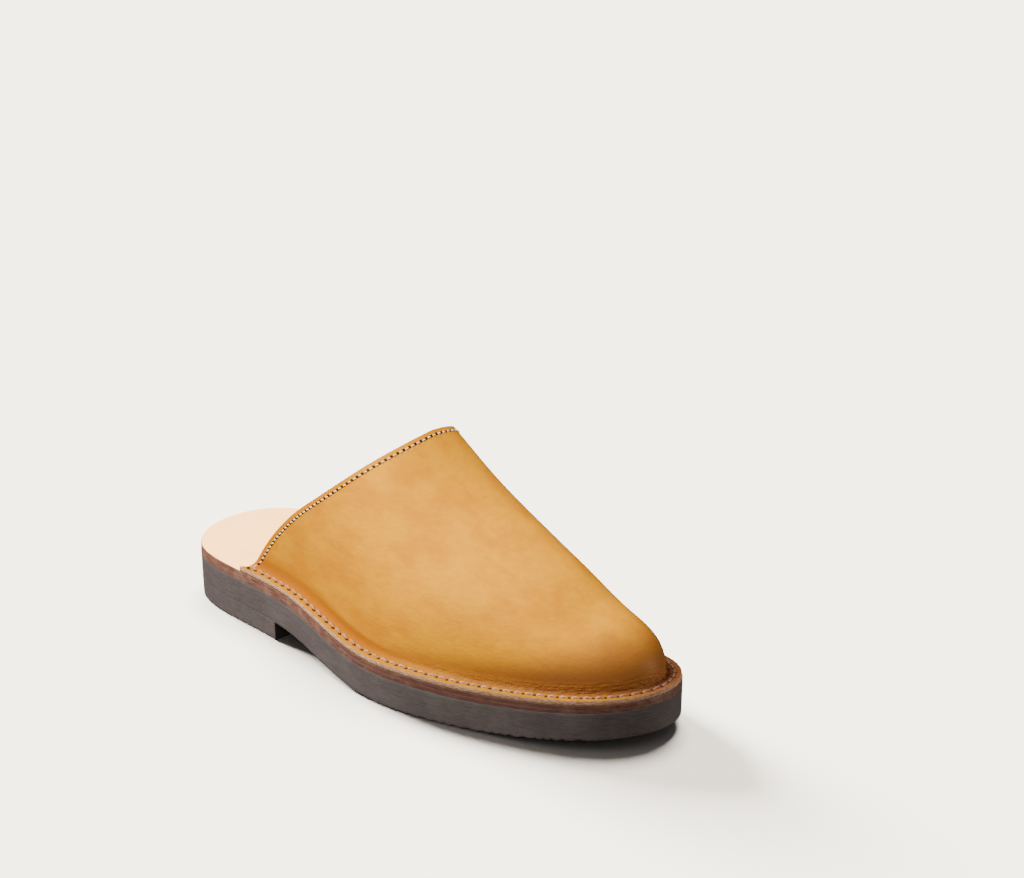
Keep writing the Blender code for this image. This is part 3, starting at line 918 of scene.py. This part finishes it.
WRINKLE_LIP = 0.6  # how much the hide is pushed up on both sides of a wrinkle
GROOVE_IN = 0.0013  # a creaser's line along the flange, just inside its cut edge
GROOVE_DEPTH = 0.00010
GROOVE_WIDTH = 0.00035
GROOVE_ENDS = (60, 110)  # degrees from the toe's tip over which it fades


def carried_by(data, name, wide=1):
    values = np.empty(len(data) * wide)
    data.foreach_get(name, values)
    return values


mesh = vamp.data
up = carried_by(mesh.attributes["from_flange"].data, "value")
turn = carried_by(mesh.attributes["signed_turn"].data, "value")
push = np.zeros(len(mesh.vertices))
for bend_turn, spread, height, slope, depth, width in zip(*WRINKLES.values()):
    off = turn - bend_turn
    middle = (height + slope * off) * MM
    fade = np.exp(-((off / spread * WRINKLE_FADE) ** 2))
    across = (up - middle) / (width * MM)
    push -= depth * MM * fade * (1 - 2 * across**2 * WRINKLE_LIP) * np.exp(-(across**2))
groove = np.exp(-(((up - GROOVE_IN) / GROOVE_WIDTH) ** 2))
push -= GROOVE_DEPTH * groove * (1 - ramp(np.abs(turn), *GROOVE_ENDS))

places = carried_by(mesh.vertices, "co", 3).reshape(-1, 3)
moved = places + carried_by(mesh.vertex_normals, "vector", 3).reshape(-1, 3) * push[:, None]
mesh.vertices.foreach_set("co", moved.ravel())
mesh.update()

hide = vamp.modifiers.new("hide", "SOLIDIFY")
hide.thickness = UPPER_THICKNESS
hide.offset = -1
hide.use_even_offset = True
hide.material_offset = 1
hide.material_offset_rim = 2
easing = vamp.modifiers.new("eased_cut", "BEVEL")
easing.width = CUT_EDGE_ROUND
easing.segments = 2
easing.limit_method = "ANGLE"
easing.angle_limit = np.radians(CUT_EDGE_ANGLE)
easing.material = 0
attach(vamp, "root")
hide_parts("upper")


# ======== Stitching ========
# A lock-stitch row of thick waxed thread holds the flange down through insole and midsole, and a finer pale
# row binds the collar. Each stitch is a short arch of two-ply thread that dives into its awl holes.

PLIES = 2
PLY_SWELL = 0.14
THREAD_SIDES = 12
THREAD_SAMPLES = 14
PLY_TWIST = 3.0  # radians over one stitch
ARCH_RISE = 2.0  # a stitch's arch and how deep it is sunk, in thread radii
ARCH_SUNK = 1.35
STITCH_SHY = {"flange": 0.12, "topline": 0.26}  # from a stitch's end to its hole's middle, in pitches
STITCH_SLANT = 0.0002
FLANGE_THREAD = 0.00056  # radii of the two threads
COLLAR_THREAD = 0.00036
THREAD_TOE_SHADE = "#6b4735"  # painted shade on the thread round the toe


def stitch_row(name, seam, normals, row, radius, slant, finish):
    """One mesh of all the stitches along a seam, laid end to end from its far end."""
    pitch = STITCH_ROWS[row]["pitch"]
    shy = STITCH_SHY[row]
    walked = lengths(seam, 0)
    from_end = walked[-1] - walked
    order = np.argsort(from_end)
    count = int(from_end.max() / pitch)
    points = []
    faces = []

    def read(values, at):
        return np.stack([np.interp(at, from_end[order], values[order, axis]) for axis in range(3)], -1)

    for k in range(count):
        share = np.linspace(0, 1, THREAD_SAMPLES)
        at = (k + shy + (1 - 2 * shy) * share) * pitch
        centre = read(seam, at)
        normal = unit(read(normals, at))
        forward = unit(np.gradient(centre, axis=0))
        side = unit(np.cross(normal, forward))
        lift = radius * (ARCH_RISE * np.sin(np.pi * share) ** 0.5 - ARCH_SUNK)
        centre = centre + normal * lift[:, None] + side * (slant * (share - 0.5))[:, None]
        forward = unit(np.gradient(centre, axis=0))
        side = unit(np.cross(normal, forward))
        over = np.cross(forward, side)
        first = len(points)
        for i in range(THREAD_SAMPLES):
            angle = np.linspace(0, 2 * np.pi, THREAD_SIDES, endpoint=False)
            swell = 1 + PLY_SWELL * np.cos(PLIES * (angle - share[i] * PLY_TWIST))
            ring = np.cos(angle)[:, None] * side[i] + np.sin(angle)[:, None] * over[i]
            points += (centre[i] + ring * (radius * swell)[:, None]).tolist()
        for i in range(THREAD_SAMPLES - 1):
            for j in range(THREAD_SIDES):
                a = first + i * THREAD_SIDES + j
                b = first + i * THREAD_SIDES + (j + 1) % THREAD_SIDES
                faces.append((a, b, b + THREAD_SIDES, a + THREAD_SIDES))
        faces.append([first + j for j in range(THREAD_SIDES)][::-1])
        faces.append([first + (THREAD_SAMPLES - 1) * THREAD_SIDES + j for j in range(THREAD_SIDES)])
    piece = mesh_piece(name, points, faces, [finish])
    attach(piece, "root")


def waxed_thread(name, pale, deep):
    """Bonded, waxed thread: nearly dull, uneven in tone, and browner round the toe with painted shade."""
    material, add, place = new_material(name)
    lint = add("TexNoise", {"Vector": place, "Scale": 1 / (0.6 * MM), "Detail": 4})
    share = add("MapRange", [lint, 0.35, 0.65])
    tone = add("Mix", {0: share, MIX_A: deep, MIX_B: pale}, **COLOUR)
    along = add("SeparateXYZ", {"Vector": place})
    # painted shade browns the thread round the toe
    toe_shade = add("MapRange", [along.outputs["Y"], -0.112, -0.136, 0, 0.65], **SMOOTH)
    toe_shaded = add("Mix", {0: toe_shade, MIX_A: tone, MIX_B: THREAD_TOE_SHADE}, **COLOUR)
    fibre = add("Bump", {"Height": lint, "Distance": 0.08 * MM, "Strength": 0.7})
    look = {"Base Color": toe_shaded, "Roughness": 0.62, "IOR": 1.5, "Normal": fibre}
    add("OutputMaterial", [add("BsdfPrincipled", look)])
    return material


flange_thread = waxed_thread("waxed_flange_thread", "#b78a6c", "#7d5640")
collar_thread = waxed_thread("waxed_collar_thread", "#f6e0b8", "#dcb986")
for side, word in ((-1, "lateral"), (1, "medial")):
    _, seam = flange_seam(side)
    upright = np.tile([0.0, 0.0, 1.0], (len(seam), 1))
    slant = side * STITCH_SLANT
    stitch_row(f"flange_stitches_{word}", seam, upright, "flange", FLANGE_THREAD, slant, flange_thread)
    seam, normals = (line[FLANGE_ROWS // 2 :] for line in topline_seam(side))
    stitch_row(f"collar_stitches_{word}", seam, normals, "topline", COLLAR_THREAD, 0.0, collar_thread)


# ======== Studio ========
# A pale seamless floor inside a bright round backdrop. Two softboxes light the slipper from above its
# lateral side; cards open the toe, the heel and the medial side, and one sun the insole. The floor has three
# lights of its own, so that it stays bright under a gentle shadow.

FLOOR_RADIUS = 30.0
SLIPPER_MIDDLE = (0.0, 0.0, 0.04)
FLOOR_SHADE = "#e6dccb"
BACKDROP_GLOW = (5.9, 5.2, 3.8, 1.0)
ROUND_SIDES = 96


floor_paint, add, place = new_material("matt_floor_paint")
roller = add("TexNoise", {"Vector": place, "Scale": 60, "Detail": 3})
orange_peel = add("Bump", {"Height": roller, "Distance": 0.1 * MM, "Strength": 0.2})
look = {"Base Color": FLOOR_SHADE, "Roughness": 0.95, "Normal": orange_peel}
add("OutputMaterial", [add("BsdfPrincipled", look)])

floor_mesh = bpy.data.meshes.new("floor")
angles = np.linspace(0, 2 * np.pi, ROUND_SIDES + 1)[:-1]
floor_rim = [(FLOOR_RADIUS * np.cos(angle), FLOOR_RADIUS * np.sin(angle), 0.0) for angle in angles]
floor_mesh.from_pydata(floor_rim, [], [list(range(ROUND_SIDES))])
floor = placed("floor", floor_mesh)
floor.data.materials.append(floor_paint)
floor.visible_diffuse = False
floor.visible_glossy = False

backdrop_glow, add, _ = new_material("backdrop_glow")
add("OutputMaterial", [add("Emission", {"Color": BACKDROP_GLOW})])
bpy.ops.mesh.primitive_cylinder_add(
    vertices=ROUND_SIDES, radius=FLOOR_RADIUS, depth=FLOOR_RADIUS, end_fill_type="NOTHING", location=(0, 0, 0)
)
backdrop = bpy.context.object
backdrop.name = "backdrop"
backdrop.data.materials.append(backdrop_glow)
backdrop.visible_diffuse = False
backdrop.visible_glossy = False
backdrop.visible_shadow = False


def lit(name, *things):
    """A collection of the things that a lamp is kept to."""
    collection = bpy.data.collections.new(name)
    for thing in things:
        collection.objects.link(thing)
    return collection


only_floor = lit("only_floor", floor)
only_vamp = lit("only_vamp", vamp)
only_sole = lit("only_sole", heel_block, outsole, midsole, insole)
all_but_floor = lit("all_but_floor", floor)
all_but_floor.collection_objects[0].light_linking.link_state = "EXCLUDE"


def aim(thing, place, target):
    """Put a lamp or camera at a place and turn its -Z axis to the target."""
    thing.location = place
    back = np.array(place) - np.array(target)
    level = np.hypot(back[0], back[1])
    thing.rotation_euler = (np.arctan2(level, back[2]), 0.0, np.arctan2(back[0], -back[1]))


def lamp(name, kind, energy, place, reach, **settings):
    """A lamp aimed at the slipper's middle that lights only what its reach collection lets it."""
    data = bpy.data.lights.new(name, kind)
    data.energy = energy
    for setting, value in settings.items():
        setattr(data, setting, value)
    thing = placed(name, data)
    aim(thing, place, SLIPPER_MIDDLE)
    thing.light_linking.receiver_collection = reach
    return thing


lamp("key_softbox", "AREA", 13.9, (-0.19, 0.24, 0.62), all_but_floor, size=0.6)
lamp("side_softbox", "AREA", 5.0, (-0.52, 0.06, 0.46), all_but_floor, size=0.4)
lamp("toe_card", "AREA", 6.8, (0.55, -0.95, 0.18), all_but_floor, size=0.4)
pair_bounce = lamp("pair_bounce", "AREA", 0.45, (0.55, 0.02, 0.24), only_vamp, shape="RECTANGLE", size=0.35)
pair_bounce.data.size_y = 0.25
pair_bounce.data.color = (1.0, 0.45, 0.15)  # light that the pair's other slipper would throw back
lamp("insole_rear", "SUN", 15.0, (0.66, 0.52, 0.60), lit("only_insole", insole), angle=np.radians(25))
lamp("heel_card", "AREA", 1.1, (-0.30, 0.45, 0.12), only_sole, size=0.3)
lamp("floor_rear", "SUN", 32.5, (0.068, 0.915, 0.430), only_floor, angle=np.radians(20))
lamp("floor_side", "SUN", 9.2, (0.377, 0.246, 0.933), only_floor, angle=np.radians(30))
lamp("floor_fill", "SUN", 0.45, (-0.3, -0.2, 1.0), only_floor, angle=np.radians(120), color=(0.85, 0.86, 1.0))

world = bpy.data.worlds.new("even_fill")
world.use_nodes = True
fill = world.node_tree.nodes["Background"].inputs
fill["Color"].default_value = (1.0, 0.97, 0.93, 1.0)
fill["Strength"].default_value = 0.03
bpy.context.scene.world = world

CAMERA_AZIMUTH = -46.046
CAMERA_ELEVATION = 23.431
CAMERA_DISTANCE = 2.1876
CAMERA_LENS = 158.2
CAMERA_SENSOR = 36.0
CAMERA_TARGET = (0.0601, 0.0005, 0.0964)

azimuth, elevation = np.radians((CAMERA_AZIMUTH, CAMERA_ELEVATION))
level = np.cos(elevation)
back = np.array([np.sin(azimuth) * level, -np.cos(azimuth) * level, np.sin(elevation)])
camera_data = bpy.data.cameras.new("camera")
camera_data.lens = CAMERA_LENS
camera_data.sensor_width = CAMERA_SENSOR
camera = placed("camera", camera_data)
aim(camera, (np.array(CAMERA_TARGET) + back * CAMERA_DISTANCE).tolist(), CAMERA_TARGET)
bpy.context.scene.camera = camera
